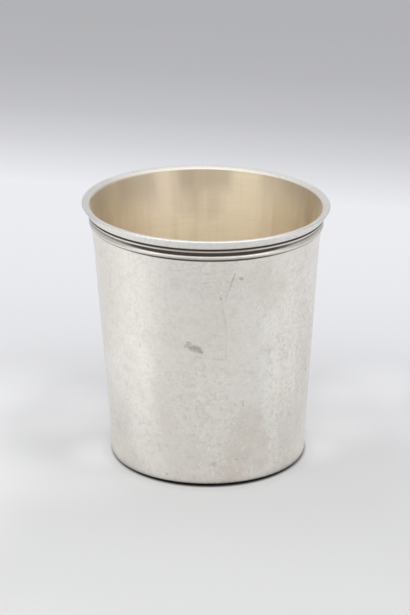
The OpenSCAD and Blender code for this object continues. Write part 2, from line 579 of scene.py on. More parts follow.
@dataclass(frozen=True)
class PaperFinish:
    """Matt pale paper of the floor and backdrop, which greys towards the back, with a painted shadow under
    the foot and painted pools of light and shade.
    """

    name: str = "pale_paper"
    # Runs of grey: places in metres behind the cup, which drift to one side, and their tones and tints, with
    # painted shade just in front of the foot
    near: float = -0.5
    far: float = 0.7
    drift: float = 0.25
    tones: tuple[tuple[float, float], ...] = (
        (-0.5, 0.45), (-0.2, 0.665), (-0.13, 0.79), (-0.08, 0.775), (-0.06, 0.75), (-0.02, 0.71),
        (-0.01, 0.71), (0.02, 0.81), (0.05, 0.835), (0.12, 0.85), (0.25, 0.875), (0.32, 0.67), (0.37, 0.565),
        (0.45, 0.495), (0.55, 0.47), (0.62, 0.47),
    )
    near_tint: Colour = (0.985, 0.99, 0.99)
    far_tint: Colour = (0.985, 0.99, 1.022)
    tint_from: float = -0.05
    tint_to: float = 0.12
    # Shade of contact under the foot, and the faint dusk round it, in millimetres
    shade: Colour = (0.03, 0.03, 0.027)
    shade_r: float = 29.7
    shade_soft: float = 0.9
    shade_at: Point = (0.75, -1.1)
    dusk: float = 0.07
    dusk_w: float = 4.5
    # Light beside the cup, and how much less there is behind it and to the right
    beside: float = 0.36
    behind: float = 0.3
    right: float = 0.3
    # Painted pools of light and shade on the paper: place and reach in millimetres, and gain
    patches: tuple[tuple[float, float, float, float], ...] = (
        (-36.0, 16.0, 27.0, 0.15), (35.0, 12.0, 27.0, 0.1), (-42.0, -24.0, 30.0, 0.08),
        (60.0, -4.0, 28.0, -0.08), (-31.0, -6.0, 16.0, 0.2), (31.0, -5.0, 15.0, 0.12),
        (-37.0, 38.0, 18.0, 0.08), (37.0, 38.0, 18.0, 0.08), (-62.0, 46.0, 28.0, 0.08),
        (60.0, 46.0, 28.0, 0.1), (105.0, -38.0, 50.0, 0.13), (115.0, 25.0, 40.0, 0.08),
        (-140.0, -80.0, 45.0, -0.12), (-55.0, -135.0, 50.0, 0.06), (84.0, 32.0, 24.0, -0.16),
    )

    @staticmethod
    def distance(nodes: Nodes, place: Value, spot: Point) -> Value:
        """Distance on the paper from a spot, in millimetres."""
        way = nodes.vector("SUBTRACT", place, (*spot, 0.0))
        return nodes.node("ShaderNodeVectorMath", {"operation": "LENGTH"}, {0: way}, "Value")

    def tint(self, y: float) -> Colour:
        """Tint of the paper at a distance behind the cup."""
        share = min(1.0, max(0.0, (y - self.tint_from) / (self.tint_to - self.tint_from)))
        return tuple(near + (far - near) * share for near, far in zip(self.near_tint, self.far_tint))

    def material(self) -> bpy.types.Material:
        """The finish as a material."""
        material = bpy.data.materials.new(self.name)
        material.use_nodes = True
        nodes = Nodes(material.node_tree)
        nodes.tree.nodes.clear()
        coordinates = nodes.node("ShaderNodeTexCoord", None, None, "Object")
        x, y, _ = nodes.parts(coordinates)
        depth = (y + x * self.drift - self.near) / (self.far - self.near)
        stops = [
            ((y - self.near) / (self.far - self.near), tuple(tone * part for part in self.tint(y)))
            for y, tone in self.tones
        ]
        colour = nodes.node("ShaderNodeValToRGB", {"stops": stops}, {"Fac": depth}, "Color")
        beside = self.beside - y.rise(0.0, 0.07) * self.behind
        beside = beside - x.rise(-0.02, 0.02) * y.rise(0.1, 0.02) * self.right
        aside = abs(x) / nodes.math("SQRT", x * x + y * y)
        beside = beside * aside.rise(0.5, 1.0) * abs(x).rise(0.04, 0.09) * y.rise(0.2, 0.13)
        colour = nodes.scaled(colour, 1.0 + beside)
        place = nodes.scaled(coordinates, 1.0 / MM)
        # painted pools of light and shade
        for spot_x, spot_y, reach, gain in self.patches:
            lit = self.distance(nodes, place, (spot_x, spot_y)).rise(reach, 0.1 * reach)
            colour = nodes.scaled(colour, 1.0 + lit * gain)
        away = self.distance(nodes, place, self.shade_at)
        colour = nodes.scaled(colour, 1.0 - away.rise(self.shade_r + self.dusk_w, self.shade_r) * self.dusk)
        under = away.rise(self.shade_r + self.shade_soft, self.shade_r - self.shade_soft)
        colour = nodes.mix(under, colour, self.shade)
        shader = nodes.node("ShaderNodeBsdfDiffuse", None, {"Color": colour})
        nodes.end("ShaderNodeOutputMaterial", "Surface", shader)
        return material


def arc(centre: Point, radius: float, start: float, end: float, steps: int = 24) -> list[Point]:
    """Points along an arc.

    Args:
        centre: its centre, in radius and height.
        radius: its radius.
        start: first angle, in degrees.
        end: last angle, in degrees.
        steps: number of parts.

    Returns:
        One point more than there are parts.
    """
    angles = [math.radians(start + (end - start) * i / steps) for i in range(steps + 1)]
    return [(centre[0] + radius * math.cos(a), centre[1] + radius * math.sin(a)) for a in angles]


@dataclass(frozen=True)
class Seat:
    """Place on the section that tarnish and painted shade make darker, or with a negative depth where the
    silver is rubbed bright.
    """

    r: float
    z: float
    reach: float
    depth: float = 1.0

    def at(self, point: Point) -> float:
        """Relief that the seat gives a point."""
        return self.depth * math.exp(-((math.dist((self.r, self.z), point) / self.reach) ** 2))


@dataclass(frozen=True)
class Outline:
    """Closed section of a turned piece, in radius and height."""

    points: list[Point]

    DOUBLE = 1e-6

    def refined(self, pitch: float) -> list[Point]:
        """The outline with its long edges split, those on the axis apart.

        Args:
            pitch: longest edge that is left.

        Returns:
            The points, with doubles left out.
        """
        result: list[Point] = []
        for start, end in zip(self.points, self.points[1:] + self.points[:1]):
            length = math.dist(start, end)
            if length < self.DOUBLE:
                continue
            on_axis = start[0] == 0.0 and end[0] == 0.0
            pieces = 1 if on_axis else math.ceil(length / pitch)
            for i in range(pieces):
                t = i / pieces
                result.append((start[0] + (end[0] - start[0]) * t, start[1] + (end[1] - start[1]) * t))
        return result

    def mesh(self, name: str, pitch: float, seats: Sequence[Seat]) -> bpy.types.Mesh:
        """One flat face over the XZ plane, whose points carry the relief.

        Args:
            name: name of the mesh.
            pitch: longest edge.
            seats: where the relief, within -1 and 1, comes from.

        Returns:
            The mesh, in metres, turned the same way for every outline.
        """
        points = self.refined(pitch)
        area = sum(a[0] * b[1] - b[0] * a[1] for a, b in zip(points, points[1:] + points[:1]))
        if area < 0.0:
            points.reverse()
        mesh = bpy.data.meshes.new(name)
        mesh.from_pydata([(r * MM, 0.0, z * MM) for r, z in points], [], [range(len(points))])
        layer = mesh.attributes.new("relief", "FLOAT", "POINT")
        for item, point in zip(layer.data, points):
            item.value = max(-1.0, min(1.0, sum(seat.at(point) for seat in seats)))
        return mesh


@dataclass(frozen=True)
class CupForm:
    """Outside of the cup: a straight taper from the foot, and a flare up to the rim."""

    height: float = 80.0
    foot_z: float = 0.6
    foot_d: float = 59.5
    neck_d: float = 68.5
    flare_h: float = 15.3
    flare_r: float = 130.0
    sheet_t: float = 0.6
    gilt_t: float = 0.1
    lip_h: float = 2.85
    lip_rise: float = 0.85
    lip_gap: float = 0.3
    upper_w: float = 0.95
    thread_gap: float = 1.0
    lower_w: float = 1.45

    @property
    def rim_z(self) -> float:
        """Height of the sheet's top edge."""
        return self.height - self.lip_rise

    @property
    def lip_z(self) -> float:
        """Height of the lip's lower edge."""
        return self.height - self.lip_h

    @property
    def upper_z(self) -> float:
        """Height of the upper thread's middle."""
        return self.lip_z - self.lip_gap - self.upper_w / 2

    @property
    def between_z(self) -> float:
        """Height of the middle of the groove between the threads."""
        return self.upper_z - (self.upper_w + self.thread_gap) / 2

    @property
    def lower_z(self) -> float:
        """Height of the lower thread's middle."""
        return self.between_z - (self.thread_gap + self.lower_w) / 2

    @property
    def neck_z(self) -> float:
        """Height of the lower thread's lower edge, where the neck is measured."""
        return self.lower_z - self.lower_w / 2

    @property
    def lean(self) -> float:
        """Angle of the wall from the vertical, in degrees."""
        return math.degrees(math.atan2((self.neck_d - self.foot_d) / 2, self.neck_z))

    @property
    def flare_z(self) -> float:
        """Height at which the flare starts."""
        return self.rim_z - self.flare_h

    @property
    def flare_c(self) -> Point:
        """Centre of the flare's arc."""
        lean = math.radians(self.lean)
        return (
            self.cone_r(self.flare_z) + self.flare_r * math.cos(lean),
            self.flare_z - self.flare_r * math.sin(lean),
        )

    def cone_r(self, z: float) -> float:
        """Outside radius of the straight taper at a height."""
        return self.foot_d / 2 + z * math.tan(math.radians(self.lean))

    def outer_r(self, z: float) -> float:
        """Outside radius of the wall at a height, flare included."""
        if z < self.flare_z:
            return self.cone_r(z)
        return self.flare_c[0] - math.sqrt(self.flare_r ** 2 - (z - self.flare_c[1]) ** 2)

    def taper_point(self, depth: float, z: float) -> Point:
        """Point of the taper at a height, set in from the outside by a depth."""
        return (self.cone_r(z) - depth / math.cos(math.radians(self.lean)), z)

    def flare_points(self, depth: float, steps: int = 40) -> list[Point]:
        """Points up the flare to the rim, set in from the outside by a depth."""
        rim_angle = math.degrees(math.asin((self.rim_z - self.flare_c[1]) / (self.flare_r + depth)))
        return arc(self.flare_c, self.flare_r + depth, 180.0 - self.lean, 180.0 - rim_angle, steps)

    def seat_points(self, low: float, high: float, steps: int = 10) -> list[Point]:
        """Points up the outside of the wall between two heights."""
        heights = [low + (high - low) * i / steps for i in range(steps + 1)]
        return [(self.outer_r(z), z) for z in heights]


@dataclass(frozen=True)
class PressedDisc:
    """Form of the base: flat in the middle, and turned up round it on one arc to the wall."""

    form: CupForm
    disc_t: float = 0.6
    stand_d: float = 46.0
    edge_z: float = 1.0
    fit: float = 0.1

    @property
    def edge(self) -> float:
        """Depth of the disc's edge from the outside of the wall."""
        return self.form.sheet_t + self.fit

    @property
    def radius(self) -> float:
        """Radius of the underside's arc."""
        run = self.form.taper_point(self.edge, self.edge_z)[0] - self.stand_d / 2
        return (run ** 2 + self.edge_z ** 2) / (2.0 * self.edge_z)

    @property
    def centre(self) -> Point:
        """Centre of the arc."""
        return (self.stand_d / 2, self.radius)

    def meeting(self, radius: float, depth: float) -> Point:
        """Point where a circle about the arc's centre meets the taper.

        Args:
            radius: radius of the circle.
            depth: depth of the taper from the outside.

        Returns:
            The lower of the two meeting points.
        """
        slope = math.tan(math.radians(self.form.lean))
        gap = self.form.taper_point(depth, 0.0)[0] - self.centre[0]
        a = 1.0 + slope ** 2
        b = gap * slope - self.centre[1]
        c = gap ** 2 + self.centre[1] ** 2 - radius ** 2
        return self.form.taper_point(depth, (-b - math.sqrt(b * b - a * c)) / a)

    def angle_of(self, point: Point) -> float:
        """Direction of a point from the arc's centre, in degrees."""
        return math.degrees(math.atan2(point[1] - self.centre[1], point[0] - self.centre[0]))

    def points(self, lift: float) -> list[Point]:
        """Points up the turned edge, on the surface that lies above the underside by a lift."""
        end = self.angle_of(self.meeting(self.radius - lift, self.edge))
        return arc(self.centre, self.radius - lift, -90.0, end, 16)


@dataclass(frozen=True)
class OutOfTrue:
    """How far hand work and use have taken the cup from a true turned form."""

    skew: float = -0.0156
    lean: float = -0.008
    reach: float = 37.2
    height: float = 80.0
    foot_drop: float = 0.56
    wave_depth: float = 0.12
    wave_size: float = 17.0
    seed: float = 4.0

    def inputs(self) -> dict[str, float]:
        """Settings by the title of the tree's input, with lengths in metres."""
        plain = {"Skew": self.skew, "Lean": self.lean, "Seed": self.seed}
        lengths = {
            "Reach": self.reach,
            "Height": self.height,
            "Foot Drop": self.foot_drop,
            "Wave Depth": self.wave_depth,
            "Wave Size": self.wave_size,
        }
        return {**plain, **{title: length * MM for title, length in lengths.items()}}


@dataclass(frozen=True)
class Turning:
    """A piece to be turned: its name, the node that it stands for, its section and its finish."""

    name: str
    node: str
    slot: Slot
    outline: Outline
    seats: tuple[Seat, ...]
    finish: Union[SilverFinish, GiltFinish, SolderFinish]
    pitch: float
    start: float = 0.0
    sweep: float = 360.0
    steps: int = 256


class TurnedForm(Nodes):
    """Geometry Nodes tree that turns an outline about the cup's axis and takes it out of true."""

    INPUTS = {
        "NodeSocketGeometry": ("Outline",),
        "NodeSocketFloat": (
            "Start Angle", "Sweep Angle", "Skew", "Lean", "Reach", "Height",
            "Foot Drop", "Wave Depth", "Wave Size", "Seed",
        ),
        "NodeSocketInt": ("Steps",),
        "NodeSocketBool": ("End Faces",),
        "NodeSocketMaterial": ("Finish",),
    }
    # Distance at which points are welded, in metres, and angle above which an edge is sharp
    WELD = 1e-7
    SHARP = 0.55
    # Ring of the foot that sinks, in metres, and the share of the height that it reaches up to
    FOOT_RING = (0.024, 0.029)
    FOOT_SHARE = 0.1
    # Shares of the height over which the waves begin above the foot and end under the lip
    WAVES_BEGIN = (0.02, 0.15)
    WAVES_END = (1.05, 0.8)

    def __init__(self, truth: OutOfTrue) -> None:
        """Makes the tree.

        Args:
            truth: how far pieces made with it are out of true.
        """
        self.truth = truth
        super().__init__(bpy.data.node_groups.new("turned_form", "GeometryNodeTree"))
        face = self.tree.interface
        self.keys = {
            title: face.new_socket(name=title, in_out="INPUT", socket_type=kind).identifier
            for kind, titles in self.INPUTS.items()
            for title in titles
        }
        face.new_socket(name="Piece", in_out="OUTPUT", socket_type="NodeSocketGeometry")
        self.given = self.node("NodeGroupInput")
        self._wire()

    def _wire(self) -> None:
        """Links the steps from the outline to the finished piece."""
        body = self._with_ends(self._turned())
        body = self.node("GeometryNodeMergeByDistance", None, {"Geometry": body, "Distance": self.WELD})
        faces = self.node("GeometryNodeInputMeshEdgeNeighbors")
        loose = {"Geometry": body, "Selection": 1.0 - faces.smaller(1.0)}
        body = self.node("GeometryNodeDeleteGeometry", {"domain": "EDGE"}, loose)
        body = self.node("GeometryNodeSetPosition", None, {"Geometry": body, "Offset": self._shift()})
        smooth = {"Geometry": body, "Shade Smooth": True}
        body = self.node("GeometryNodeSetShadeSmooth", {"domain": "FACE"}, smooth)
        angle = self.node("GeometryNodeInputMeshEdgeAngle", None, None, "Unsigned Angle")
        folded = self.math("GREATER_THAN", angle, self.SHARP)
        sharp = {"Geometry": body, "Selection": folded, "Shade Smooth": False}
        body = self.node("GeometryNodeSetShadeSmooth", {"domain": "EDGE"}, sharp)
        body = self.node("GeometryNodeRealizeInstances", None, {"Geometry": body})
        dressed = {"Geometry": body, "Material": self.given.output("Finish")}
        self.end("NodeGroupOutput", "Piece", self.node("GeometryNodeSetMaterial", None, dressed))

    def _turned(self) -> Value:
        """The outline carried round the axis as a skin of quads, with its relief."""
        outline = self.given.output("Outline")
        steps = self.given.output("Steps")
        measured = {"Geometry": outline}
        count = self.node("GeometryNodeAttributeDomainSize", {"component": "MESH"}, measured, "Point Count")
        columns = steps + 1.0
        sides = {"Vertices X": count + 1.0, "Vertices Y": columns}
        skin = self.node("GeometryNodeMeshGrid", None, sides, "Mesh")
        index = self.node("GeometryNodeInputIndex")
        row = self.math("FLOOR", (index + 0.5) / columns)
        column = index - row * columns
        source = self.math("MODULO", row, count)
        place = self._sampled(outline, "FLOAT_VECTOR", self.node("GeometryNodeInputPosition"), source)
        radius, _, height = self.parts(place)
        angle = self.given.output("Start Angle") + self.given.output("Sweep Angle") * column / steps
        turned = self.joined(radius * self.math("COSINE", angle), radius * self.math("SINE", angle), height)
        kind = {"data_type": "FLOAT"}
        relief = self.node("GeometryNodeInputNamedAttribute", kind, {"Name": "relief"}, "Attribute")
        relief = self._sampled(outline, "FLOAT", relief, source)
        skin = self.node("GeometryNodeSetPosition", None, {"Geometry": skin, "Position": turned})
        stored = {"Geometry": skin, "Name": "relief", "Value": relief}
        return self.node("GeometryNodeStoreNamedAttribute", {"data_type": "FLOAT", "domain": "POINT"}, stored)

    def _sampled(self, outline: Value, kind: str, value: Value, index: Value) -> Value:
        """A value of the outline's points, read by index."""
        sockets = {"Geometry": outline, "Value": value, "Index": index}
        return self.node("GeometryNodeSampleIndex", {"data_type": kind, "domain": "POINT"}, sockets, "Value")

    def _with_ends(self, skin: Value) -> Value:
        """The skin with a face at each end where it doesn't go all the way round.

        Args:
            skin: the turned skin.

        Returns:
            The skin and its ends, not yet welded.
        """
        outline = self.given.output("Outline")
        first = self.given.output("Start Angle")
        last = first + self.given.output("Sweep Angle")
        flipped = self.node("GeometryNodeFlipFaces", None, {"Mesh": outline})
        ends = []
        for face, angle in ((outline, first), (flipped, last)):
            turned = {"Geometry": face, "Rotation": self.joined(0.0, 0.0, angle)}
            ends.append(self.node("GeometryNodeTransform", None, turned))
        wanted = {"Switch": self.given.output("End Faces"), "True": self._bundle(*ends)}
        return self._bundle(skin, self.node("GeometryNodeSwitch", {"input_type": "GEOMETRY"}, wanted))

    def _bundle(self, *parts: Value) -> Value:
        """Joins geometries."""
        made = self.node("GeometryNodeJoinGeometry")
        for part in parts:
            self.tree.links.new(part.socket, made.socket.node.inputs[0])
        return made

    def _shift(self) -> Value:
        """How far each point moves: the cup leans, its mouth tips and its wall waves inwards a little.

        Returns:
            The shift, a function of place alone, so that pieces that touch move together.
        """
        given = self.given.output
        x, y, z = self.parts(self.node("GeometryNodeInputPosition"))
        share = z / given("Height")
        drop = given("Skew") * (x + given("Reach")) * share
        aside = given("Lean") * (z - given("Height"))
        outwards = self.vector("NORMALIZE", self.joined(x, y, 0.0))
        side = self.parts(outwards)[0]
        inner, outer = (radius ** 2 for radius in self.FOOT_RING)
        edge = (x * x + y * y).rise(inner, outer) * share.rise(self.FOOT_SHARE, 0.0)
        drop = drop - given("Foot Drop") * side * side * edge
        spot = self.scaled(outwards, MetalSkin.GIRTH_R * MM)
        spot = self.vector("ADD", spot, self.joined(0.0, 0.0, z))
        wave = self.noise(spot, given("Seed"), 1.0 / given("Wave Size"), 0.0)
        held = share.rise(*self.WAVES_BEGIN) * share.rise(*self.WAVES_END)
        inwards = self.scaled(outwards, given("Wave Depth") * wave * held * -1.0)
        return self.vector("ADD", inwards, self.joined(aside, 0.0, drop))

    def piece(self, turning: Turning, finish: bpy.types.Material) -> bpy.types.Object:
        """Turns an outline into a plain mesh.

        Args:
            turning: what is turned, and how.
            finish: its material.

        Returns:
            The piece, at the origin.
        """
        outline = turning.outline.mesh(turning.name, turning.pitch, turning.seats)
        piece = bpy.data.objects.new(turning.name, outline)
        bpy.context.scene.collection.objects.link(piece)
        modifier = piece.modifiers.new("turned_form", "NODES")
        modifier.node_group = self.tree
        settings = {
            **self.truth.inputs(),
            "Start Angle": math.radians(turning.start),
            "Sweep Angle": math.radians(turning.sweep),
            "Steps": turning.steps,
            "End Faces": turning.sweep < 360.0,
            "Finish": finish,
        }
        for title, setting in settings.items():
            modifier[self.keys[title]] = setting
        depsgraph = bpy.context.evaluated_depsgraph_get()
        mesh = bpy.data.meshes.new_from_object(
            piece.evaluated_get(depsgraph), preserve_all_data_layers=True, depsgraph=depsgraph
        )
        piece.modifiers.remove(modifier)
        piece.data = mesh
        mesh.name = turning.name
        return piece


class SubAssembly:
    """Pieces of the cup that are made and dressed together."""

    def turnings(self) -> list[Turning]:
        """The pieces, in the order in which they are made."""
        raise NotImplementedError

    def build(self, lathe: TurnedForm) -> list[bpy.types.Object]:
        """Makes and dresses the pieces, and puts each in the place of its node.

        Args:
            lathe: the tree that turns outlines.

        Returns:
            The finished pieces.
        """
        turnings = self.turnings()
        materials = {finish: finish.material() for finish in dict.fromkeys(each.finish for each in turnings)}
        pieces = []
        for turning in turnings:
            piece = lathe.piece(turning, materials[turning.finish])
            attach(piece, "root")
            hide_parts(turning.node)
            pieces.append(piece)
        return pieces


WALL_MARKS = (
    Mark(14.2, 68.3, 9.9, 61.3, 0.32, 0.5),
    Mark(7.6, 60.8, 10.4, 50.6, 0.24, 0.3),
    Mark(10.4, 50.6, 10.4, 41.3, 0.22, 0.18),
    Mark(17.2, 66.8, 17.8, 66.6, 0.65, 0.75),
    Mark(-5.7, 42.4, 10.4, 41.3, 0.26, 0.2),
    Mark(-5.0, 26.8, -5.1, 24.2, 0.3, 0.4),
    Mark(20.3, 27.3, 20.4, 25.7, 0.4, 0.5),
    Mark(-61.4, 58.1, -57.2, 53.4, 0.3, 0.35),
    Mark(-1.1, 65.9, -0.9, 65.8, 0.4, 0.5),
    Mark(7.2, 65.5, 7.4, 65.4, 0.4, 0.45),
    Mark(7.3, 61.0, 7.5, 60.7, 0.42, 0.6),
    Mark(-0.6, 36.1, -0.4, 35.9, 0.4, 0.4),
    Mark(69.2, 30.2, 69.6, 29.6, 0.5, 0.6),
    Mark(-23.5, 2.8, -23.1, 2.6, 0.5, 0.5),
    Mark(16.6, 8.4, 17.8, 8.2, 0.4, 0.45),
    Mark(101.0, 52.0, 108.0, 46.5, 0.3, 0.4),
    Mark(140.0, 30.0, 151.0, 27.0, 0.3, 0.35),
    Mark(-122.0, 61.0, -118.0, 50.0, 0.28, 0.35),
)
WALL_SCUFFS = (
    Mark(-9.4, 46.9, -7.8, 46.7, 0.45, 0.5),
    Mark(-11.0, 45.5, -8.0, 45.4, 0.5, 0.4),
    Mark(-9.6, 46.0, -3.4, 45.2, 0.9, 0.45),
    Mark(-8.0, 45.2, -2.6, 44.0, 1.0, 0.5),
    Mark(-7.4, 45.7, -2.9, 44.6, 0.4, 0.8),
    Mark(-8.6, 45.4, -5.4, 44.7, 0.3, 0.75),
    Mark(-4.4, 44.6, -2.4, 43.9, 0.5, 0.75),
    Mark(4.2, 7.4, 4.8, 7.0, 1.1, 0.3),
)
WALL_BLOOMS = (
    Mark(28.0, 66.0, 38.0, 61.0, 7.0, 0.6),
    Mark(24.0, 20.0, 15.0, 5.0, 6.5, 1.0),
    Mark(31.0, 15.0, 33.0, 6.0, 4.0, 0.7),
    Mark(-46.0, 40.0, -43.0, 30.0, 6.0, 0.5),
    Mark(120.0, 40.0, 130.0, 20.0, 9.0, 0.8),
    Mark(-150.0, 55.0, -135.0, 35.0, 9.0, 0.8),
)
WALL_FLECKS = (
    Mark(52.0, 58.0, 50.0, 26.0, 10.0, 1.0),
    Mark(-4.0, 30.0, 12.0, 7.0, 13.0, 0.5),
    Mark(-150.0, 30.0, -120.0, 10.0, 12.0, 0.6),
)
# Painted highlights in the gilding, where it glows with reflected light
GILT_PAINTED_HIGHLIGHTS = (
    Mark(174.0, 66.0, 174.0, 30.0, 9.0, 0.9),
    Mark(-186.0, 66.0, -186.0, 30.0, 9.0, 0.9),
    Mark(-158.2, 82.0, -160.0, 68.0, 5.2, 0.85),
    Mark(157.5, 82.0, 160.0, 66.0, 6.5, 1.0),
)
GILT_EDGES = (
    Mark(-100.0, 79.3, -179.0, 79.3, 0.95, 0.8),
    Mark(100.0, 79.3, 179.0, 79.3, 0.9, 0.6),
)
LIP_BLOOMS = (
    Mark(-118.0, 79.5, -66.0, 79.0, 6.0, 0.8),
    Mark(70.0, 79.0, 112.0, 79.5, 6.0, 0.5),
)
# Painted shade in the gilding: a dark reflected stripe under the rim and darker ends
GILT_PAINTED_SHADE = (
    Mark(-170.0, 84.0, -170.0, 76.0, 4.8, 0.55),
    Mark(-170.0, 84.0, -170.0, 69.0, 6.5, 0.36),
    Mark(-180.0, 82.0, -180.0, 68.0, 7.5, 0.3),
    Mark(180.0, 82.0, 180.0, 68.0, 7.5, 0.3),
    Mark(-104.0, 78.0, -117.0, 50.0, 8.0, 0.55),
    Mark(108.0, 80.0, 119.0, 50.0, 8.0, 0.55),
)
# Painted reflections on the wall: lighter bands of silver
WALL_PAINTED_REFLECTIONS = (
    Mark(-41.0, 40.0, -34.0, 2.0, 8.0, 0.9),
    Mark(35.0, 52.0, 38.0, 6.0, 5.0, 0.7),
)


@dataclass
class Wall(SubAssembly):
    """Rolled sheet of the wall, and the solder of its seam down the back."""

    form: CupForm
    foot_ease: float = 0.16
    seam_w: float = 0.4
    dark_z: float = 75.45
    under_lip_z: float = 77.0
    pitch: float = 1.5
    steps: int = 320
    seam_steps: int = 2
    finish: SilverFinish = SilverFinish(
        "worn_silver_wall", WALL_MARKS, WALL_SCUFFS, WALL_BLOOMS, WALL_FLECKS, WALL_PAINTED_REFLECTIONS
    )
    solder: SolderFinish = SolderFinish("seam_solder_filed")

    def outline(self) -> Outline:
        """Section of the sheet, from the eased foot to the rim."""
        form = self.form
        ease = form.taper_point(self.foot_ease, form.foot_z + self.foot_ease)
        points = arc(ease, self.foot_ease, -90.0, -form.lean, 8)
        points += form.flare_points(0.0, 90)
        points += form.flare_points(form.sheet_t)[::-1]
        return Outline(points + [form.taper_point(form.sheet_t, form.foot_z)])

    def seats(self) -> tuple[Seat, ...]:
        """Tarnish and painted shade along the threads, and painted shade at the foot."""
        form = self.form
        return (
            Seat(form.outer_r(form.neck_z), form.neck_z - 0.12, 0.26, 0.8),
            Seat(form.outer_r(self.dark_z), self.dark_z, 1.2),
            Seat(form.outer_r(self.under_lip_z), self.under_lip_z, 0.5),
            # painted shade on the wall's foot edge, over the dark gap under it
            Seat(form.cone_r(form.foot_z) - 0.5, form.foot_z - 0.2, 0.3, 0.6),
        )

    def turnings(self) -> list[Turning]:
        """The wall, and the strip of solder that closes it."""
        seam = 2.0 * math.degrees(math.asin(self.seam_w / self.form.foot_d))
        outline, seats = self.outline(), self.seats()
        return [
            Turning(
                "cup_wall", "body_wall", Slot.SILVER, outline, seats, self.finish, self.pitch,
                90.0 + seam / 2, 360.0 - seam, self.steps,
            ),
            Turning(
                "wall_seam", "seam_solder", Slot.SOLDER, outline, seats, self.solder, self.pitch,
                90.0 - seam / 2, seam, self.seam_steps,
            ),
        ]


@dataclass
class Base(SubAssembly):
    """Disc that is pressed out a little in the middle and let into the wall, and the solder that holds it."""

    disc: PressedDisc
    pitch: float = 1.5
    finish: SilverFinish = SilverFinish("scuffed_silver_base", polish=0.33, scratched=1.6, seed=91.0)
    solder: SolderFinish = SolderFinish("base_solder_filed", seed=71.0)

    def plate(self) -> Outline:
        """Section of the disc."""
        top = self.disc.points(self.disc.disc_t)[::-1]
        return Outline([(0.0, 0.0), *self.disc.points(0.0), *top, (0.0, self.disc.disc_t)])

    def joint(self) -> Outline:
        """Section of the solder: a film round the disc and a fillet under its edge."""
        form = self.disc.form
        under = self.disc.points(0.0)
        top = self.disc.points(self.disc.disc_t)[-1]
        foot = form.taper_point(form.sheet_t, form.foot_z)
        return Outline([foot, under[-2], under[-1], top, form.taper_point(form.sheet_t, top[1])])

    def turnings(self) -> list[Turning]:
        """The disc, and the solder round it."""
        # painted shade on the disc's turned edge, darkening the gap under the wall's foot
        seats = (Seat(*self.disc.points(0.0)[-1], 2.0),)
        return [
            Turning("cup_base", "base_disc", Slot.SILVER, self.plate(), seats, self.finish, self.pitch),
            Turning("base_joint", "base_solder", Slot.SOLDER, self.joint(), seats, self.solder, self.pitch),
        ]


@dataclass
class Lining(SubAssembly):
    """Gilded skin over the disc and the inside of the wall."""

    disc: PressedDisc
    fillet: float = 1.0
    pitch: float = 1.0
    finish: GiltFinish = GiltFinish("worn_gilding", sweeps=GILT_PAINTED_HIGHLIGHTS, shade_marks=GILT_PAINTED_SHADE, edges=GILT_EDGES)

    def outline(self) -> Outline:
        """Section of the skin."""
        form, disc = self.disc.form, self.disc
        face = form.sheet_t + form.gilt_t
        floor_z = disc.disc_t + form.gilt_t
        seat = disc.points(disc.disc_t)
        corner = disc.meeting(disc.radius - floor_z - self.fillet, face + self.fillet)
        turn = disc.angle_of(corner)
        points = [(0.0, disc.disc_t), *seat, form.taper_point(form.sheet_t, seat[-1][1])]
        points += form.flare_points(form.sheet_t)
        points += form.flare_points(face)[::-1]
        points += arc(corner, self.fillet, -form.lean, turn, 10)
        points += arc(disc.centre, disc.radius - floor_z, turn, -90.0, 16)
        return Outline(points + [(0.0, floor_z)])

    def turnings(self) -> list[Turning]:
        """The gilded skin alone, with painted shade at its upper edge, and darker in the corner of the floor.
        """
        form = self.disc.form
        edge = form.flare_points(form.sheet_t + form.gilt_t)[-1]
        corner = self.disc.points(self.disc.disc_t)[-1]
        seats = (Seat(*edge, 0.3, 0.25), Seat(*corner, 1.8, 0.4))
        outline = self.outline()
        return [Turning("gilded_inside", "gilt_lining", Slot.GILT, outline, seats, self.finish, self.pitch)]


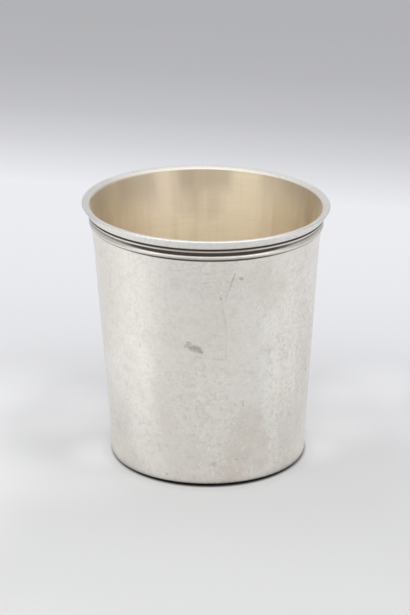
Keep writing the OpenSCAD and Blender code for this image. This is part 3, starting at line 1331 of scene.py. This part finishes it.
@dataclass
class Mouth(SubAssembly):
    """Lip wire that caps the edge of the wall, and the two half-round threads under it."""

    form: CupForm
    lip_reach: float = 1.54
    lip_edge_r: float = 0.45
    lip_step: float = 0.4
    upper_proud: float = 0.3
    lower_proud: float = 0.4
    pitch: float = 0.4
    lip_finish: SilverFinish = SilverFinish(
        "rubbed_silver_lip",
        blooms=LIP_BLOOMS,
        clean=(0.90, 0.886, 0.86),
        bloom=(0.885, 0.863, 0.825),
        rosy=(0.75, 0.742, 0.745),
        dull=(0.775, 0.757, 0.727),
        polish=0.52,
        scratched=0.6,
        gilded_r=35.6,
        seed=11.0,
    )
    # Silver of the threads, darker than the wall's: painted shade that tones down their highlights
    thread_finish: SilverFinish = SilverFinish(
        "rubbed_silver_threads",
        clean=(0.80, 0.768, 0.715),
        bloom=(0.785, 0.74, 0.685),
        polish=0.4,
        scratched=0.4,
        seed=17.0,
    )

    # Halvings of the angle when the edge of a thread is sought
    HALVINGS = 40

    def lip(self) -> Outline:
        """Section of the lip: a crown, a round outer edge and a face that slants back to the wall."""
        form = self.form
        top = form.height
        inner = form.flare_points(form.sheet_t + form.gilt_t)[-1]
        edge = (form.outer_r(form.rim_z) + self.lip_reach - self.lip_edge_r, top - self.lip_edge_r)
        width, rise = edge[0] - inner[0], top - form.rim_z
        crown_r = (width ** 2 + rise ** 2) / (2.0 * rise)
        foot = (form.outer_r(form.lip_z) + self.lip_step, form.lip_z)
        run = (edge[0] - foot[0], edge[1] - foot[1])
        face = math.degrees(math.atan2(-run[1], -run[0]) + math.acos(self.lip_edge_r / math.hypot(*run)))
        crown = 90.0 + math.degrees(math.asin(width / crown_r))
        points = arc((edge[0], top - crown_r), crown_r, crown, 90.0, 20)
        points += arc(edge, self.lip_edge_r, 90.0, face, 12)
        points += [foot]
        return Outline(points + form.seat_points(form.lip_z, form.rim_z))

    def thread(self, z: float, width: float, proud: float) -> Outline:
        """Section of a half-round wire that is seated on the wall.

        Args:
            z: height of its middle.
            width: its width.
            proud: how far it stands out.

        Returns:
            The section.
        """
        radius = ((width / 2) ** 2 + proud ** 2) / (2.0 * proud)
        middle = self.form.outer_r(z) + proud - radius
        low, high = (self._meeting(middle, z, radius, side) for side in (-1.0, 1.0))
        bottom, top = (z + radius * math.sin(math.radians(angle)) for angle in (low, high))
        return Outline(arc((middle, z), radius, low, high, 20) + self.form.seat_points(bottom, top)[::-1])

    def _meeting(self, middle: float, z: float, radius: float, side: float) -> float:
        """Angle at which a wire's round meets the wall.

        Args:
            middle: radius of the wire's middle.
            z: height of the wire's middle.
            radius: radius of the wire.
            side: -1 below and 1 above.

        Returns:
            The angle, in degrees.
        """
        near, far = 0.0, 90.0
        for _ in range(self.HALVINGS):
            angle = (near + far) / 2
            turn = math.radians(angle)
            clear = middle + radius * math.cos(turn) > self.form.outer_r(z + side * radius * math.sin(turn))
            near, far = (angle, far) if clear else (near, angle)
        return side * near

    def grooves(self) -> tuple[Seat, ...]:
        """Tarnish and painted shade in the grooves between the lip, the threads and the wall."""
        form = self.form
        under_lip = form.lip_z - 0.2
        return (
            Seat(form.outer_r(under_lip) + 0.1, under_lip, 0.5, 1.2),
            Seat(form.outer_r(form.between_z), form.between_z, 0.6, 1.3),
            Seat(form.outer_r(form.neck_z) + 0.1, form.neck_z + 0.05, 0.68, 0.8),
        )

    def turnings(self) -> list[Turning]:
        """The lip, and both threads in one finish."""
        form = self.form
        grooves = self.grooves()
        inner = form.flare_points(form.sheet_t + form.gilt_t)[-1]
        outer = (form.outer_r(form.rim_z) + self.lip_reach, form.height - self.lip_edge_r)
        # painted shade along the edge of the gilding on the lip; the outer edge is rubbed bright
        lip_seats = (*grooves, Seat(*inner, 0.3, 0.18), Seat(*outer, 0.8, -0.8))
        threads = (
            ("upper_bead", "upper_thread", self.thread(form.upper_z, form.upper_w, self.upper_proud)),
            ("lower_bead", "lower_thread", self.thread(form.lower_z, form.lower_w, self.lower_proud)),
        )
        return [
            Turning("mouth_lip", "lip_wire", Slot.SILVER, self.lip(), lip_seats, self.lip_finish, self.pitch),
            *(
                Turning(name, node, Slot.SILVER, outline, grooves, self.thread_finish, self.pitch)
                for name, node, outline in threads
            ),
        ]


@dataclass(frozen=True)
class SoftBox:
    """A flat lamp behind a diffuser, turned towards the cup."""

    name: str
    place: tuple[float, float, float]
    width: float
    height: float
    power: float
    aim: tuple[float, float, float] = (0.0, 0.0, 0.03)
    colour: Colour = (1.0, 1.0, 1.0)

    def build(self) -> bpy.types.Object:
        """Makes the lamp."""
        lamp = bpy.data.lights.new(self.name, "AREA")
        lamp.shape = "RECTANGLE"
        lamp.size = self.width
        lamp.size_y = self.height
        lamp.energy = self.power
        lamp.color = self.colour
        holder = bpy.data.objects.new(self.name, lamp)
        holder.location = self.place
        holder.rotation_euler = (Vector(self.aim) - Vector(self.place)).to_track_quat("-Z", "Y").to_euler()
        bpy.context.scene.collection.objects.link(holder)
        return holder


@dataclass
class Studio:
    """Paper floor, lamps, pale tent and camera."""

    eye: tuple[float, float, float] = (0.00025, -0.6150, 0.2806)
    tilt: float = 69.08
    pan: float = 0.053
    lens: float = 126.9
    sensor: float = 36.0
    paper_half: float = 4.0
    bounces: int = 12
    room: Colour = (0.4, 0.4, 0.405)
    back: Colour = (0.7, 0.7, 0.705)
    ceiling: Colour = (0.63, 0.63, 0.64)
    front: Colour = (1.33, 1.33, 1.34)
    cheeks: Colour = (1.9, 1.9, 1.91)
    dim: Colour = (0.25, 0.25, 0.25)
    paper: PaperFinish = PaperFinish()
    lamps: tuple[SoftBox, ...] = (
        SoftBox("top_softbox", (0.0, -0.1, 1.1), 1.4, 2.0, 3.0, (0.0, -0.1, 0.0)),
    )

    def floor(self) -> bpy.types.Object:
        """Sheet of pale paper under the cup, which reaches far past the picture."""
        half = self.paper_half
        mesh = bpy.data.meshes.new("paper_floor")
        corners = [(-half, -half, 0.0), (half, -half, 0.0), (half, half, 0.0), (-half, half, 0.0)]
        mesh.from_pydata(corners, [], [range(len(corners))])
        mesh.materials.append(self.paper.material())
        sheet = bpy.data.objects.new("paper_floor", mesh)
        bpy.context.scene.collection.objects.link(sheet)
        return sheet

    def camera(self) -> bpy.types.Object:
        """Camera at the photograph's place."""
        data = bpy.data.cameras.new("studio_camera")
        data.lens = self.lens
        data.sensor_width = self.sensor
        camera = bpy.data.objects.new("studio_camera", data)
        camera.location = self.eye
        camera.rotation_euler = (math.radians(self.tilt), 0.0, math.radians(self.pan))
        bpy.context.scene.collection.objects.link(camera)
        bpy.context.scene.camera = camera
        return camera

    def world(self) -> None:
        """Pale tent round the cup, brightest at both sides of the camera and dim below it."""
        world = bpy.data.worlds.new("pale_tent")
        world.use_nodes = True
        nodes = Nodes(world.node_tree)
        nodes.tree.nodes.clear()
        way = nodes.node("ShaderNodeTexCoord", None, None, "Generated")
        x, y, z = nodes.parts(way)
        regions = (
            (y.rise(0.3, 0.7), self.back),
            (z.rise(0.28, 0.55) * abs(x).rise(0.8, 0.4), self.ceiling),
            ((-y).rise(0.3, 0.6), self.front),
            ((-y).rise(0.15, 0.35) * abs(x).rise(0.35, 0.55), self.cheeks),
            ((-y).rise(0.3, 0.7) * z.rise(0.28, 0.15), self.dim),
        )
        colour: object = self.room
        for share, tone in regions:
            colour = nodes.mix(share, colour, tone)
        shader = nodes.node("ShaderNodeBackground", None, {"Color": colour, "Strength": 1.0})
        nodes.end("ShaderNodeOutputWorld", "Surface", shader)
        bpy.context.scene.world = world

    def build(self) -> None:
        """Sets up everything round the cup."""
        self.camera()
        self.floor()
        self.world()
        for lamp in self.lamps:
            lamp.build()
        bpy.context.scene.view_settings.view_transform = "Standard"
        bpy.context.scene.cycles.glossy_bounces = self.bounces


def main() -> None:
    """Builds the cup and the studio."""
    logging.basicConfig(level=logging.INFO, format="%(name)s: %(message)s")
    Studio().build()
    form = CupForm()
    disc = PressedDisc(form)
    lathe = TurnedForm(OutOfTrue())
    for assembly in (Wall(form), Base(disc), Lining(disc), Mouth(form)):
        for piece in assembly.build(lathe):
            log.info("%s of %s: %d faces", piece.name, type(assembly).__name__, len(piece.data.polygons))


if __name__ == "__main__":
    main()
